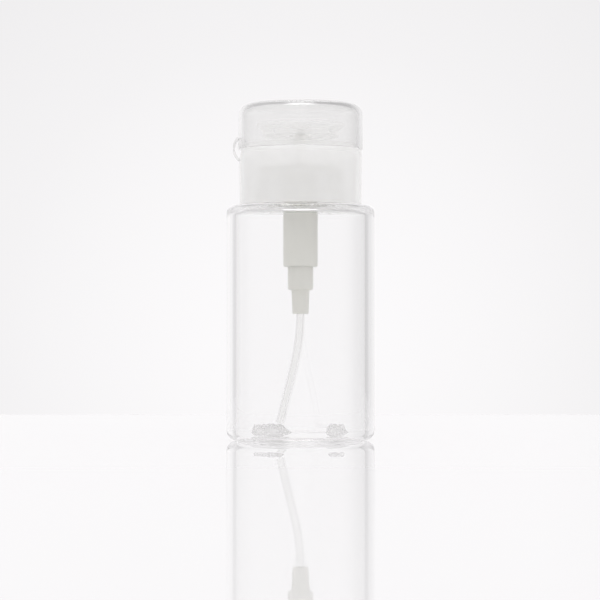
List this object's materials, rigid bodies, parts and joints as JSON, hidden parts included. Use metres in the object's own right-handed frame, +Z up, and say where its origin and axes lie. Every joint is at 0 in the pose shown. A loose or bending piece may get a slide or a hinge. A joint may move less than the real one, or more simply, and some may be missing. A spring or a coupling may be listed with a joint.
{
  "type": "pump dispenser",
  "caption": "Clear bottle with a push-down pump: a screw closure with a hinged flip lid, a press tray, a piston pump and a dip tube.",
  "frame": {"origin": "middle of the bottle's underside, on the surface that it stands on", "axes": "+Z up along the bottle's axis, -X towards the lid's hinge"},
  "size_m": [0.06, 0.06, 0.1362],
  "materials": {
    "clear_bottle": "clear, glossy, thick-walled",
    "milky_closure": "milky, see-through, smooth moulded",
    "pump_plastic": "natural milky plastic, satin",
    "tube_plastic": "natural extruded tube, see-through",
    "soft_seal": "soft white sealing plastic",
    "steel": "bright stainless wire and balls"
  },
  "bodies": {
    "bottle": {"bottle": "clear_bottle"},
    "pump": {"rim_gasket": "soft_seal", "pump_body": "pump_plastic", "stem_guide": "pump_plastic", "stem_wiper": "soft_seal", "foot_valve": "pump_plastic", "ball_cage": "pump_plastic", "dip_tube": "tube_plastic", "return_spring": "steel"},
    "closure": {"screw_closure": "milky_closure"},
    "lid": {"flip_lid": "milky_closure"},
    "plunger": {"piston_stem": "pump_plastic", "piston_seal": "soft_seal", "press_plunger": "milky_closure", "press_tray": "milky_closure", "nozzle_cap": "milky_closure"},
    "inlet_ball": {"inlet_ball": "steel"},
    "outlet_ball": {"outlet_ball": "steel"}
  },
  "joints": [
    {"name": "closure_lift", "type": "slide", "parent": "bottle", "child": "pump", "axis": [0, 0, 1], "range_m": [0, 0.0085]},
    {"name": "closure_turn", "type": "hinge", "parent": "pump", "child": "closure", "pos_m": [0, 0, 0.1], "axis": [0, 0, 1], "range_deg": [0, 720]},
    {"name": "lid_hinge", "type": "hinge", "parent": "closure", "child": "lid", "pos_m": [-0.02695, 0, 0.1178], "axis": [0, -1, 0], "range_deg": [0, 170]},
    {"name": "head_press", "type": "slide", "parent": "pump", "child": "plunger", "axis": [0, 0, -1], "range_m": [0, 0.0065], "stiffness_N_per_m": 600, "springref_m": -0.004, "deforming": ["return_spring"]},
    {"name": "inlet_ball_lift", "type": "slide", "parent": "pump", "child": "inlet_ball", "axis": [0, 0, 1], "range_m": [0, 0.001]},
    {"name": "outlet_ball_lift", "type": "slide", "parent": "plunger", "child": "outlet_ball", "axis": [0, 0, 1], "range_m": [0, 0.0008]}
  ],
  "couplings": [
    {"joint": "closure_lift", "follows": "closure_turn", "m_per_rad": 0.00066845}
  ]
}
